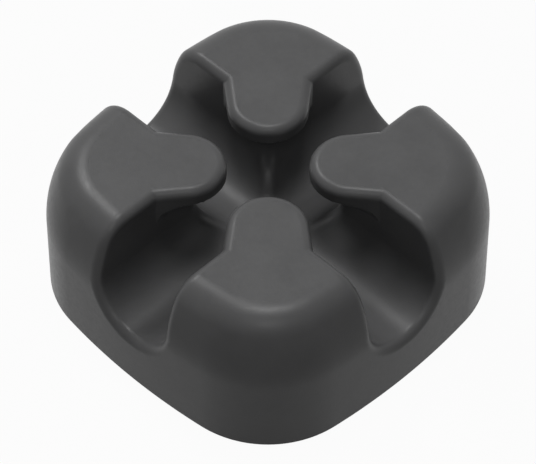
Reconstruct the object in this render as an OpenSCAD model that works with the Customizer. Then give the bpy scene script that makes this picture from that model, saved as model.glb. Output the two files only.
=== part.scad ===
// Desk cable holder: one soft moulded block with two crossing cable channels,
// four posts whose lips reach over the crossing, and an adhesive pad underneath.
// Origin at the centre of the pad's underside, +Z up, channels along X and Y.

/* [Body] */
// Width across the flat sides
body_w = 40; // [38:0.5:44]
// Height of the moulded body
body_h = 17.5; // [17:0.1:20]
// Plan radius of the four upright corners
corner_r = 11.1; // [9:0.1:13]
// Plan radius of the slightly bulging sides
side_r = 75; // [60:1:120]
// Radius of the crest, where the top turns down
crest_r = 3.6; // [2.5:0.1:4]
// How far the crest turns before the flank takes over, in degrees
crest_turn = 65; // [55:0.5:70]
// Radius of the flank between the crest and the upright wall
flank_r = 14.9; // [10:0.1:17]
// Radius of the rounded edges along the slots, lips and mouths
edge_r = 1; // [0.6:0.05:1.2]

/* [Channels] */
// Width of the channels, which have upright walls and a round floor
channel_w = 9.6; // [9:0.1:10]
// Height of the channels' floor above the body's underside
floor_z = 6.4; // [5.5:0.1:7]
// Radius of the cove between a channel's wall and its roof under the lips
cove_r = 2.5; // [1:0.1:3]
// Radius of the ridges where the two channels cross
ridge_r = 1.8; // [1:0.1:2]

/* [Lips] */
// Thickness of each lip
lip_t = 2.05; // [1.6:0.05:2.6]
// Distance from the middle of the crossing to each lip's tip
lip_reach = 4.2; // [3.6:0.1:5]
// Radius of each lip's round tip
lip_tip_r = 4.2; // [3.6:0.1:4.6]
// Angle at which a lip's sides widen towards its post, in degrees
lip_taper = 6.5; // [2:0.5:9]

/* [Adhesive pad] */
// Thickness of the foam pad
pad_t = 1.1; // [0.9:0.1:1.6]
// How far the pad stands out below the body
pad_proud = 0.3; // [0.1:0.05:0.5]
// Width of the rim between the pad and the body's wall
pad_margin = 3; // [2:0.1:5]
// Gap between the pad and the edge of its recess
pad_gap = 0.2; // [0.1:0.05:0.4]

/* [Hidden] */

// Steps along the curves
side_steps = 6;
corner_steps = 12;
crest_steps = 6;
flank_steps = 6;
floor_steps = 16;
cove_steps = 5;
tip_steps = 9;
edge_steps = 4;
// How far a cutting tool reaches out of the material
clear = 0.3;
// How far a rounding tool's arc runs past the face that it meets
overrun = 0.02;
// Wall angle at which the ridges fade into the floor and the roof
ridge_end = 80;
// Two unit normals closer than this count as one
same = 0.01;

// Plan outline: four side arcs joined by four corner arcs, each pair tangent
side_c = side_r - body_w / 2;
corner_c = (sqrt(2 * pow(side_r - corner_r, 2) - pow(side_c, 2)) - side_c) / 2;
side_turn = atan2(corner_c, corner_c + side_c);

// Section through a wall: upright, then the flank arc, then the crest arc
wall_top = body_h - crest_r * (1 - cos(crest_turn)) - flank_r * cos(crest_turn);
flat_inset = crest_r * sin(crest_turn) + flank_r * (1 - sin(crest_turn));
wall_turns = concat(
  [for (i = [0 : flank_steps - 1]) 90 + (crest_turn - 90) * i / flank_steps],
  [for (i = [0 : crest_steps]) crest_turn * (1 - i / crest_steps)]);

// Half section of a channel, from the middle of its floor to the middle of its roof
channel_r = channel_w / 2;
wall_z = floor_z + channel_r;
roof_z = body_h - lip_t;
cove = min(cove_r, roof_z - wall_z - clear);

function unit(v) = v / norm(v);
function spun(p, a) = [p.x * cos(a) - p.y * sin(a), p.x * sin(a) + p.y * cos(a), p.z];
function flipped(p) = [p.x, -p.y, p.z];
function flat(p) = [p.x, p.y];

// Outline of the body, drawn in by an inset
function quarter_outline(inset) = concat(
  [for (i = [0 : side_steps]) let (a = side_turn * (2 * i / side_steps - 1))
    [(side_r - inset) * cos(a) - side_c, (side_r - inset) * sin(a), 0]],
  [for (i = [1 : corner_steps - 1]) let (a = side_turn + (90 - 2 * side_turn) * i / corner_steps)
    [corner_c + (corner_r - inset) * cos(a), corner_c + (corner_r - inset) * sin(a), 0]]);
function outline(inset) = [for (k = [0 : 3], p = quarter_outline(inset)) flat(spun(p, 90 * k))];

// Inset and height of the wall where its normal stands at this angle from vertical
function wall_inset(turn) = turn < crest_turn
  ? flat_inset - crest_r * sin(turn)
  : flank_r * (1 - sin(turn));
function wall_height(turn) = turn < crest_turn
  ? body_h - crest_r * (1 - cos(turn))
  : wall_top + flank_r * cos(turn);
function turn_at(z) = z >= body_h - crest_r * (1 - cos(crest_turn))
  ? acos(min(1, (z - body_h + crest_r) / crest_r))
  : acos(max(0, (z - wall_top) / flank_r));

// Point and normal of the outer surface on the +X side, at this Y and height
function skin_point(y, z) = let (r = side_r - wall_inset(turn_at(z)))
  [sqrt(r * r - y * y) - side_c, y, z];
function skin_normal(y, z) = let (turn = turn_at(z), a = asin(y / (side_r - wall_inset(turn))))
  [sin(turn) * cos(a), sin(turn) * sin(a), cos(turn)];

// Half section of a channel as [Y, Z, angle of the wall outward from the axis]
floor_arc = [for (i = [0 : floor_steps]) let (a = 90 * i / floor_steps - 90)
  [channel_r * cos(a), wall_z + channel_r * sin(a), a]];
cove_arc = [for (i = [0 : cove_steps]) let (a = 90 * i / cove_steps)
  [channel_r - cove * (1 - cos(a)), roof_z - cove * (1 - sin(a)), a]];
channel_half = concat(floor_arc, cove_arc);

// Half outline of the lip on the +X +Y post, from its root to its tip, as [X, Y, 0]
lip_turn = 90 - lip_taper;
lip_side = (lip_tip_r * (sin(lip_turn) + cos(lip_turn) - 1) - lip_reach + channel_r * sqrt(2))
  / (cos(lip_taper) - sin(lip_taper));
function on_diagonal(along, across) = [(along + across) / sqrt(2), (along - across) / sqrt(2), 0];
function lip_point(a) = on_diagonal(lip_reach + lip_tip_r * (1 - cos(a)), lip_tip_r * sin(a));
function lip_normal(a) = on_diagonal(-cos(a), sin(a));
lip_root = lip_point(lip_turn) + lip_side * on_diagonal(cos(lip_taper), sin(lip_taper));
lip_turns = [for (i = [0 : tip_steps]) lip_turn * (1 - i / tip_steps)];

// A place on an edge: point, one face's normal, and the other face's normal before and after it
top = [0, 0, body_h];
up = [0, 0, 1];
slot_normal = [0, -1, 0];
function channel_normal(a) = [0, -cos(a), -sin(a)];
mouth_turns = [for (a = wall_turns) if (wall_height(a) > wall_z + clear) a];
half_rim = concat(
  [for (s = floor_arc) let (n = channel_normal(s[2]))
    [skin_point(s[0], s[1]), skin_normal(s[0], s[1]), n, n]],
  [for (a = mouth_turns) let (z = wall_height(a))
    [skin_point(channel_r, z), skin_normal(channel_r, z), slot_normal, slot_normal]],
  [[lip_root + top, up, slot_normal, lip_normal(lip_turn)]],
  [for (a = lip_turns) [lip_point(a) + top, up, lip_normal(a), lip_normal(a)]]);
rim_last = len(half_rim) - 1;
quarter_rim = concat(
  [for (i = [rim_last : -1 : 1]) let (f = half_rim[i])
    [flipped(f[0]), flipped(f[1]), flipped(f[3]), flipped(f[2])]],
  [for (i = [0 : rim_last - 1]) half_rim[i]]);
rim = [for (k = [0 : 3], f = quarter_rim) [for (v = f) spun(v, 90 * k)]];

// The ridge where the two channels meet below a lip, from the roof down to the floor
ridge = [for (i = [len(channel_half) - 1 : -1 : 0]) let (s = channel_half[i]) if (abs(s[2]) < ridge_end)
  let (n = [-cos(s[2]), 0, -sin(s[2])], m = channel_normal(s[2])) [[s[0], s[0], s[1]], n, m, m]];

// Section of the tool that rounds an edge at one place along it with a ball of radius r
function tool_section(f, r) =
  let (p = f[0], a = f[1], n1 = f[2], n2 = f[3],
    n = unit(n1 + n2),
    straight = norm(n1 - n2) < same,
    q = straight ? (a + n) / (1 + a * n)
      : (cross(n1, n2) + cross(n2, a) + cross(a, n1)) / (a * cross(n1, n2)),
    ball = p - r * q,
    corner = unit(cross(n1, n2)),
    from = r * a,
    to = straight ? r * n : p - ball + ((ball - p) * corner) * corner,
    turn = acos(a * unit(to)))
  concat(
    [ball + from + overrun * a],
    [for (i = [1 : edge_steps - 1]) let (t = i / edge_steps)
      ball + (from * sin((1 - t) * turn) + to * sin(t * turn)) / sin(turn)],
    [ball + to + overrun * n, ball + to + clear * n, p + clear * (a + n), ball + from + clear * a]);

module skin(rings, closed) {
  m = len(rings);
  n = len(rings[0]);
  last = closed ? m - 1 : m - 2;
  walls = [for (i = [0 : last], j = [0 : n - 1])
    let (next = ((i + 1) % m) * n, k = (j + 1) % n)
    each [[i * n + j, next + k, i * n + k], [i * n + j, next + j, next + k]]];
  ends = closed ? [] : [[for (j = [0 : n - 1]) j], [for (j = [n - 1 : -1 : 0]) (m - 1) * n + j]];
  polyhedron(points = [for (r = rings, p = r) p], faces = concat(walls, ends));
}

module outer_form() {
  levels = concat([[0, 0]], [for (a = wall_turns) [wall_inset(a), wall_height(a)]]);
  skin([for (l = levels) [for (p = outline(l[0])) [p.x, p.y, l[1]]]], false);
}

module channel() {
  half = [for (s = channel_half) [s[0], s[1]]];
  other = [for (i = [len(half) - 1 : -1 : 1]) [-half[i].x, half[i].y]];
  rotate([90, 0, 90]) linear_extrude(2 * body_w, center = true) polygon(concat(half, other));
}

module opening() {
  lip = concat([flat(lip_root)], [for (a = lip_turns) flat(lip_point(a))]);
  back = [for (i = [len(lip) - 2 : -1 : 0]) [lip[i].y, lip[i].x]];
  quarter = concat([[body_w, -channel_r], [body_w, channel_r]], lip, back);
  translate([0, 0, wall_z])
    linear_extrude(body_h) polygon([for (k = [0 : 3], p = quarter) flat(spun([p.x, p.y, 0], 90 * k))]);
}

module pad_plan(gap) {
  polygon(outline(pad_margin - gap));
}

module holder_body() {
  color("dimgray") translate([0, 0, pad_proud]) difference() {
    outer_form();
    channel();
    rotate(90) channel();
    opening();
    skin([for (f = rim) tool_section(f, edge_r)], true);
    for (k = [0 : 3]) rotate(90 * k) skin([for (f = ridge) tool_section(f, ridge_r)], false);
    translate([0, 0, -clear]) linear_extrude(pad_t - pad_proud + clear) pad_plan(pad_gap);
  }
}

module adhesive_pad() {
  color("whitesmoke") linear_extrude(pad_t) pad_plan(0);
}

holder_body();
adhesive_pad();
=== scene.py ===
"""Desk cable holder: a moulded rubber block with two crossing cable channels, on its adhesive pad."""
import itertools
import math

import bpy
import numpy as np
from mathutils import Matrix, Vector


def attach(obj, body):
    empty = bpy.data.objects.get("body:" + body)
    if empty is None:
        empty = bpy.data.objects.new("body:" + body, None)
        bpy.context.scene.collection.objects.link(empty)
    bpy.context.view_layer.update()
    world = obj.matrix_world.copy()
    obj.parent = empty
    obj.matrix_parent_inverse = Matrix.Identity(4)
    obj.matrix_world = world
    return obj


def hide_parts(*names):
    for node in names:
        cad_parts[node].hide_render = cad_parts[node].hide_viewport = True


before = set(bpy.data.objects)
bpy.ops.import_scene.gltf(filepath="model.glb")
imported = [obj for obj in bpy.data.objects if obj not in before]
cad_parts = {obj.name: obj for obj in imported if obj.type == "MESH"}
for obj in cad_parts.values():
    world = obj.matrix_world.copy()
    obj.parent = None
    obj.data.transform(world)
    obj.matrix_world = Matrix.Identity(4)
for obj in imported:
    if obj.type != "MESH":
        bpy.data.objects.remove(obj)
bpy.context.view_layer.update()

MM = 0.001

# Sizes of the moulded body in millimetres, as the CAD has them
BODY_W = 40.0
BODY_H = 17.5
CORNER_R = 11.1
SIDE_R = 75.0
CREST_R = 3.6
CREST_TURN = math.radians(65)
FLANK_R = 14.9
EDGE_R = 1.0
CHANNEL_R = 4.8
FLOOR_Z = 6.4
COVE_R = 2.5
RIDGE_R = 1.8
LIP_T = 2.05
LIP_REACH = 4.2
LIP_TIP_R = 4.2
LIP_TAPER = math.radians(6.5)
PAD_T = 1.1
PAD_PROUD = 0.3
PAD_MARGIN = 3.0
PAD_GAP = 0.2

# Rounding of the lips' lower edges, how far from them it fades out, and that of the bottom edge
LIP_EDGE = 0.16
LIP_EDGE_REACH = 1.0
FOOT_R = 0.2
# Width of a blend that leaves an edge sharp
SHARP = 0.001
# Distance over which slopes are measured
SLOPE_STEP = 0.01
# Two slopes with a greater dot product than this count as one
ALIKE_MOST = 0.999

# Cells that the body's surface is built from: most of them, those at its foot and those of its plain wall
CELL = 0.29
THIN_CELL = 0.07
TALL_CELL = 0.6
# How often the mesh is evened out, and how often its points are moved back onto the surface each time
RELAX_ROUNDS = 3
SETTLE_ROUNDS = 4
# Least square of a slope that a point is moved along
LEAST_SLOPE = 0.25

# Camera, fitted to the photograph's outline: it looks down on the block along a diagonal
CAMERA_AZIMUTH = math.radians(45)
CAMERA_RISE = math.radians(49.95)
CAMERA_DISTANCE = 378.2 * MM
# How far in front of the block's middle the camera aims, and the width of one pixel there
AIM_NEARER = 2.0 * MM
PIXEL = 0.10318 * MM
FRAME_W = 536
SENSOR = 36.0
NEAREST = 0.01
FARTHEST = 10

# Floor, world and lamps, in metres
WHITE = (1, 1, 1, 1)
FLOOR_COLOUR = (0.3, 0.3, 0.3, 1)
FLOOR_GLOW = 0.96
FLOOR_HALF = 1.5
WORLD_LIGHT = 0.05
LAMP_SIZE = 0.24
LAMP_DISTANCE = 0.8

# Values between which most of a noise lies
NOISE_LOW = 0.3
NOISE_HIGH = 0.7


def smooth_min(a, b, width):
    """The lesser of two fields, with the crease between them blended over a width."""
    h = np.maximum(width - np.abs(a - b), 0) / width
    return np.minimum(a, b) - h * h * width / 4


def smooth_max(a, b, width):
    """The greater of two fields, with the crease between them blended over a width."""
    return -smooth_min(-a, -b, width)


def ball_max(radius, *fields):
    """The greatest of several fields, with the edges between them rounded as by a rolling ball."""
    raised = [f + radius for f in fields]
    outside = np.sqrt(sum(np.maximum(f, 0) ** 2 for f in raised))
    inside = np.minimum(np.maximum.reduce(raised), 0)
    return outside + inside - radius


def rolled_max(radius, a, b, alike):
    """Greater of two fields, its edge rounded by a ball, where their slopes have this dot product."""
    u, v = a + radius, b + radius
    on_ball = (u > v * alike) & (v > u * alike) & (alike < ALIKE_MOST)
    square = (u * u + v * v - 2 * u * v * alike) / (1 - np.minimum(alike, ALIKE_MOST) ** 2)
    return np.where(on_ball, np.sqrt(np.maximum(square, 0)) - radius, np.maximum(a, b))


def plan_distance(x, y):
    """Distance in plan from the body's outline: four side arcs and four corner arcs."""
    side_c = SIDE_R - BODY_W / 2
    corner_c = (math.sqrt(2 * (SIDE_R - CORNER_R) ** 2 - side_c ** 2) - side_c) / 2
    a, b = np.maximum(np.abs(x), np.abs(y)), np.minimum(np.abs(x), np.abs(y))
    on_side = b * (corner_c + side_c) < corner_c * (a + side_c)
    side = np.hypot(a + side_c, b) - SIDE_R
    corner = np.hypot(a - corner_c, b - corner_c) - CORNER_R
    return np.where(on_side, side, corner)


def outer_distance(x, y, z):
    """Distance from the outside of the block: upright wall, flank arc, crest arc and flat top."""
    flat_inset = CREST_R * math.sin(CREST_TURN) + FLANK_R * (1 - math.sin(CREST_TURN))
    crest_z = BODY_H - CREST_R
    wall_top = crest_z + (CREST_R - FLANK_R) * math.cos(CREST_TURN)
    d = plan_distance(x, y)
    crest_x, crest_up = d + flat_inset, z - crest_z
    flank_x, flank_up = d + FLANK_R, z - wall_top
    crest = np.hypot(crest_x, crest_up) - CREST_R
    flank = np.hypot(flank_x, flank_up) - FLANK_R
    past_crest = crest_x * math.cos(CREST_TURN) > crest_up * math.sin(CREST_TURN)
    shape = np.where(crest_x < 0, z - BODY_H, np.where(past_crest, flank, crest))
    return np.where(past_crest & (flank_up < 0), d, shape)


def channel_distance(across, z):
    """Distance from a channel's section: round floor, upright wall, coved roof under the lips."""
    side, wall_z = np.abs(across), FLOOR_Z + CHANNEL_R
    bore = np.hypot(side, z - wall_z) - CHANNEL_R
    past, rise = side - CHANNEL_R + COVE_R, z - (BODY_H - LIP_T) + COVE_R
    in_cove = np.hypot(np.maximum(past, 0), np.maximum(rise, 0))
    coved = in_cove + np.minimum(np.maximum(past, rise), 0) - COVE_R
    return np.where(z < wall_z, bore, coved)


def lip_distance(x, y):
    """Distance in plan from the nearest lip: round tip, sides that widen towards the post."""
    along = (np.abs(x) + np.abs(y)) / math.sqrt(2) - LIP_REACH - LIP_TIP_R
    across = np.abs(np.abs(x) - np.abs(y)) / math.sqrt(2)
    tip = np.hypot(along, across) - LIP_TIP_R
    side = across * math.cos(LIP_TAPER) - along * math.sin(LIP_TAPER) - LIP_TIP_R
    beside = along * math.cos(LIP_TAPER) + across * math.sin(LIP_TAPER) > 0
    return np.where(beside, side, tip)


def body_distance(x, y, z):
    """Signed distance from the moulded body, negative inside, in millimetres."""
    up = z - PAD_PROUD
    outer = outer_distance(x, y, up)
    lip = lip_distance(x, y)
    post = np.maximum(CHANNEL_R - np.abs(x), CHANNEL_R - np.abs(y))
    upper = ball_max(EDGE_R, outer, np.minimum(np.minimum(post, lip), up - FLOOR_Z - CHANNEL_R))
    walls = [-channel_distance(across, up) for across in (y, x)]
    walls_above = [-channel_distance(across, up + SLOPE_STEP) for across in (y, x)]
    rises = [(above - wall) / SLOPE_STEP for above, wall in zip(walls_above, walls)]
    crossing = rolled_max(RIDGE_R, *walls, np.clip(rises[0] * rises[1], -1, 1))
    lower = ball_max(EDGE_R, outer, crossing)
    near_edge = 1 - np.clip(np.hypot(lip, up - BODY_H + LIP_T) / LIP_EDGE_REACH, 0, 1)
    body = smooth_max(upper, lower, SHARP + LIP_EDGE * near_edge)
    body = ball_max(FOOT_R, body, -up)
    recess = np.maximum(plan_distance(x, y) + PAD_MARGIN - PAD_GAP, z - PAD_T)
    return smooth_max(body, -recess, FOOT_R)


def gradient(field, points):
    """Slope of a field at points, by central differences."""
    columns = []
    for axis in np.eye(3):
        ahead, behind = points + axis * SLOPE_STEP, points - axis * SLOPE_STEP
        columns.append(field(*ahead.T) - field(*behind.T))
    return np.stack(columns, 1) / (2 * SLOPE_STEP)


def steps(start, stop, size):
    """Evenly spaced places from start up to stop, about this far apart."""
    return np.linspace(start, stop, int(round((stop - start) / size)), endpoint=False)


def at_corner(value, corner, cells):
    """The field's values at one corner of every cell."""
    return value[tuple(slice(first, first + count) for first, count in zip(corner, cells))]


def cell_points(value, axes):
    """A point in each cell that the surface passes through, and the number of every cell's point."""
    cells = tuple(len(a) - 1 for a in axes)
    total, number = np.zeros(cells + (3,)), np.zeros(cells)
    for corner in itertools.product((0, 1), repeat=3):
        for axis in range(3):
            if corner[axis]:
                continue
            next_corner = list(corner)
            next_corner[axis] = 1
            here, there = at_corner(value, corner, cells), at_corner(value, next_corner, cells)
            crossed = (here < 0) != (there < 0)
            place = np.zeros(cells + (3,)) + np.array(corner)
            place[..., axis] = np.where(crossed, here / np.where(crossed, here - there, 1), 0)
            total += place * crossed[..., None]
            number += crossed
    used = number > 0
    index = np.full(cells, -1)
    index[used] = np.arange(used.sum())
    part = total[used] / number[used][:, None]
    points = [a[b] + t * (a[b + 1] - a[b]) for a, b, t in zip(axes, np.nonzero(used), part.T)]
    return np.stack(points, 1), index


def crossing_quads(inside, index):
    """A quad across each of the grid's lines that the surface cuts, facing out of the body."""
    quads = []
    for axis in range(3):
        u, v = (axis + 1) % 3, (axis + 2) % 3
        near = [slice(1, -1)] * 3
        near[axis] = slice(0, -1)
        far = list(near)
        far[axis] = slice(1, None)
        from_inside, to_inside = inside[tuple(near)], inside[tuple(far)]
        cut = from_inside != to_inside
        start = np.stack(np.nonzero(cut), 1) + 1
        start[:, axis] -= 1
        ring = []
        for du, dv in ((1, 1), (0, 1), (0, 0), (1, 0)):
            place = start.copy()
            place[:, u] -= du
            place[:, v] -= dv
            ring.append(index[tuple(place.T)])
        ring = np.stack(ring, 1)
        quads.append(np.where(from_inside[cut][:, None], ring, ring[:, ::-1]))
    return np.concatenate(quads)


def surface_mesh(field, axes):
    """Quads over the zero surface of a field, one vertex for each cell that it passes through."""
    value = field(*np.meshgrid(*axes, indexing="ij"))
    points, index = cell_points(value, axes)
    return points, crossing_quads(value < 0, index)


def settled(field, points):
    """Points moved onto the zero surface along its slope."""
    for _ in range(SETTLE_ROUNDS):
        slope = gradient(field, points)
        move = field(*points.T) / np.maximum((slope ** 2).sum(1), LEAST_SLOPE)
        points = points - slope * move[:, None]
    return points


def relaxed(points, quads):
    """Points moved to the middle of their neighbours, which evens out the quads."""
    start, end = quads.T.ravel(), np.roll(quads, -1, axis=1).T.ravel()
    count = np.bincount(start, minlength=len(points))
    total = [np.bincount(start, points[end, axis], len(points)) for axis in range(3)]
    return np.stack(total, 1) / count[:, None]


def add_object(name, data):
    """A new object in the scene that holds this mesh, camera or lamp."""
    added = bpy.data.objects.new(name, data)
    bpy.context.scene.collection.objects.link(added)
    return added


def add_body():
    """The moulded body as one smooth mesh, built on a grid that reaches a few cells past it."""
    side = steps(-BODY_W / 2 - 2 * CELL, BODY_W / 2 + 3 * CELL, CELL)
    foot_top, channels_low = PAD_PROUD + 2 * FOOT_R, PAD_PROUD + FLOOR_Z - 2 * EDGE_R
    height = np.concatenate([
        steps(PAD_PROUD - 2.5 * THIN_CELL, foot_top, THIN_CELL),
        steps(foot_top, PAD_T + THIN_CELL, CELL / 2),
        steps(PAD_T + THIN_CELL, channels_low, TALL_CELL),
        steps(channels_low, PAD_PROUD + BODY_H + 2 * CELL, CELL)])
    points, quads = surface_mesh(body_distance, [side, side, height])
    points = settled(body_distance, points)
    for _ in range(RELAX_ROUNDS):
        points = settled(body_distance, relaxed(points, quads))
    normals = gradient(body_distance, points)
    normals = normals / np.linalg.norm(normals, axis=1)[:, None]
    mesh = bpy.data.meshes.new("moulded_body")
    mesh.from_pydata((points * MM).tolist(), [], quads.tolist())
    mesh.polygons.foreach_set("use_smooth", [True] * len(mesh.polygons))
    mesh.normals_split_custom_set_from_vertices(normals.tolist())
    body = add_object("moulded_body", mesh)
    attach(body, "root")
    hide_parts("holder_body")
    return body


class Nodes:
    """A material's node tree, with short ways to add a node and to link it."""

    def __init__(self, name):
        self.material = bpy.data.materials.new(name)
        self.material.use_nodes = True
        self.tree = self.material.node_tree
        self.shader = self.tree.nodes["Principled BSDF"]
        self.place = self.add("ShaderNodeTexCoord").outputs["Object"]

    def add(self, kind, **inputs):
        """A new node with these values on its input sockets."""
        node = self.tree.nodes.new(kind)
        for name, value in inputs.items():
            node.inputs[name.replace("_", " ")].default_value = value
        return node

    def link(self, source, target):
        self.tree.links.new(source, target)

    def noise(self, size, detail=2.0):
        """Noise with features of about this size in metres."""
        node = self.add("ShaderNodeTexNoise", Scale=1 / size, Detail=detail)
        self.link(self.place, node.inputs["Vector"])
        return node.outputs["Fac"]

    def pits(self, size):
        """Distance from the middle of the nearest of many cells of about this size in metres."""
        node = self.add("ShaderNodeTexVoronoi", Scale=1 / size)
        self.link(self.place, node.inputs["Vector"])
        return node.outputs["Distance"]

    def ranged(self, source, low, high):
        """A value that goes from low to high with the noise."""
        node = self.add("ShaderNodeMapRange", From_Min=NOISE_LOW, From_Max=NOISE_HIGH,
                        To_Min=low, To_Max=high)
        self.link(source, node.inputs["Value"])
        return node.outputs["Result"]

    def blend(self, source, dark, light):
        """A colour that goes from dark to light with the noise."""
        node = self.add("ShaderNodeValToRGB")
        ends = node.color_ramp.elements
        ends[0].position, ends[1].position = NOISE_LOW, NOISE_HIGH
        ends[0].color, ends[1].color = (*dark, 1), (*light, 1)
        self.link(source, node.inputs["Fac"])
        return node.outputs["Color"]

    def bump(self, source, height, below=None):
        """A normal bumped by this height in metres, on top of another bump if one is given."""
        node = self.add("ShaderNodeBump", Strength=1, Distance=height)
        self.link(source, node.inputs["Height"])
        if below is not None:
            self.link(below, node.inputs["Normal"])
        return node.outputs["Normal"]


def rubber_material():
    """Dark grey matte rubber with a very fine moulded grain."""
    n = Nodes("rubber")
    shade = n.blend(n.noise(4 * MM, detail=4), dark=(0.070, 0.070, 0.071), light=(0.080, 0.080, 0.081))
    n.link(shade, n.shader.inputs["Base Color"])
    roughness = n.ranged(n.noise(0.5 * MM, detail=3), low=0.31, high=0.39)
    n.link(roughness, n.shader.inputs["Roughness"])
    n.shader.inputs["Specular IOR Level"].default_value = 0.17
    ripples = n.bump(n.noise(0.9 * MM), height=0.006 * MM)
    grain = n.bump(n.noise(0.16 * MM), height=0.008 * MM, below=ripples)
    n.link(grain, n.shader.inputs["Normal"])
    return n.material


def foam_material():
    """Pale closed-cell foam."""
    n = Nodes("pad_foam")
    shade = n.blend(n.noise(0.6 * MM, detail=3), dark=(0.52, 0.52, 0.5), light=(0.66, 0.66, 0.64))
    n.link(shade, n.shader.inputs["Base Color"])
    n.link(n.ranged(n.noise(0.4 * MM), low=0.5, high=0.7), n.shader.inputs["Roughness"])
    n.link(n.bump(n.pits(0.35 * MM), height=0.05 * MM), n.shader.inputs["Normal"])
    return n.material


def direction(azimuth, rise):
    """Unit vector that points this far round from -Y towards +X, and this far up."""
    level = math.cos(rise)
    return Vector((math.sin(azimuth) * level, -math.cos(azimuth) * level, math.sin(rise)))


def add_camera():
    """The camera, at the photograph's angle."""
    back = direction(CAMERA_AZIMUTH, CAMERA_RISE)
    middle = Vector((0, 0, (PAD_PROUD + BODY_H / 2) * MM))
    aim = direction(CAMERA_AZIMUTH, 0) * AIM_NEARER + middle
    data = bpy.data.cameras.new("camera")
    data.sensor_width = SENSOR
    data.lens = SENSOR * CAMERA_DISTANCE / (FRAME_W * PIXEL)
    data.clip_start = NEAREST
    data.clip_end = FARTHEST
    camera = add_object("camera", data)
    camera.location = aim + back * CAMERA_DISTANCE
    camera.rotation_euler = (-back).to_track_quat("-Z", "Y").to_euler()
    bpy.context.scene.camera = camera


def sees_background(nodes, links):
    """1 for camera, glossy and transmission rays, which find a white background, and 0 for others."""
    ray = nodes.new("ShaderNodeLightPath")
    seen = ray.outputs["Is Camera Ray"]
    for kind in ("Is Glossy Ray", "Is Transmission Ray"):
        either = nodes.new("ShaderNodeMath")
        either.operation = "MAXIMUM"
        links.new(seen, either.inputs[0])
        links.new(ray.outputs[kind], either.inputs[1])
        seen = either.outputs[0]
    return seen


def floor_material():
    """Plain diffuse colour, nearly all of it covered by white wherever the background is seen."""
    material = bpy.data.materials.new("floor")
    material.use_nodes = True
    nodes, links = material.node_tree.nodes, material.node_tree.links
    nodes.clear()
    diffuse = nodes.new("ShaderNodeBsdfDiffuse")
    diffuse.inputs["Color"].default_value = FLOOR_COLOUR
    glow = nodes.new("ShaderNodeEmission")
    glow.inputs["Color"].default_value = WHITE
    share = nodes.new("ShaderNodeMath")
    share.operation = "MULTIPLY"
    share.inputs[1].default_value = FLOOR_GLOW
    mix = nodes.new("ShaderNodeMixShader")
    output = nodes.new("ShaderNodeOutputMaterial")
    links.new(sees_background(nodes, links), share.inputs[0])
    links.new(share.outputs[0], mix.inputs["Fac"])
    links.new(diffuse.outputs[0], mix.inputs[1])
    links.new(glow.outputs[0], mix.inputs[2])
    links.new(mix.outputs[0], output.inputs["Surface"])
    return material


def add_floor():
    """A floor that the camera sees as white, with the object's soft shadow kept on it."""
    mesh = bpy.data.meshes.new("floor")
    corners = [(x * FLOOR_HALF, y * FLOOR_HALF, 0) for x, y in ((-1, -1), (1, -1), (1, 1), (-1, 1))]
    mesh.from_pydata(corners, [], [(0, 1, 2, 3)])
    mesh.materials.append(floor_material())
    add_object("floor", mesh)


def set_world():
    """A world that is a white background to the camera and in reflections, and a faint light besides."""
    world = bpy.data.worlds.new("studio")
    bpy.context.scene.world = world
    world.use_nodes = True
    nodes, links = world.node_tree.nodes, world.node_tree.links
    strength = nodes.new("ShaderNodeMapRange")
    strength.inputs["To Min"].default_value = WORLD_LIGHT
    strength.inputs["To Max"].default_value = 1
    links.new(sees_background(nodes, links), strength.inputs["Value"])
    nodes["Background"].inputs["Color"].default_value = WHITE
    links.new(strength.outputs["Result"], nodes["Background"].inputs["Strength"])


def add_lamp(name, turn, rise, power):
    """A square soft lamp that looks at the object, turned this many degrees right of the camera."""
    toward = direction(math.radians(turn) + CAMERA_AZIMUTH, math.radians(rise))
    data = bpy.data.lights.new(name, "AREA")
    data.size = LAMP_SIZE
    data.energy = power
    lamp = add_object(name, data)
    lamp.location = toward * LAMP_DISTANCE
    lamp.rotation_euler = toward.to_track_quat("Z", "Y").to_euler()


bpy.context.scene.view_settings.view_transform = "Standard"
add_camera()
set_world()
add_floor()
add_lamp("overhead", turn=180, rise=84, power=3.0)
add_lamp("left_behind", turn=215, rise=52, power=3.0)
add_lamp("front", turn=0, rise=50, power=0.75)
body = add_body()
body.data.materials.append(rubber_material())
foam = foam_material()
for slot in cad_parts["adhesive_pad"].material_slots:
    slot.material = foam
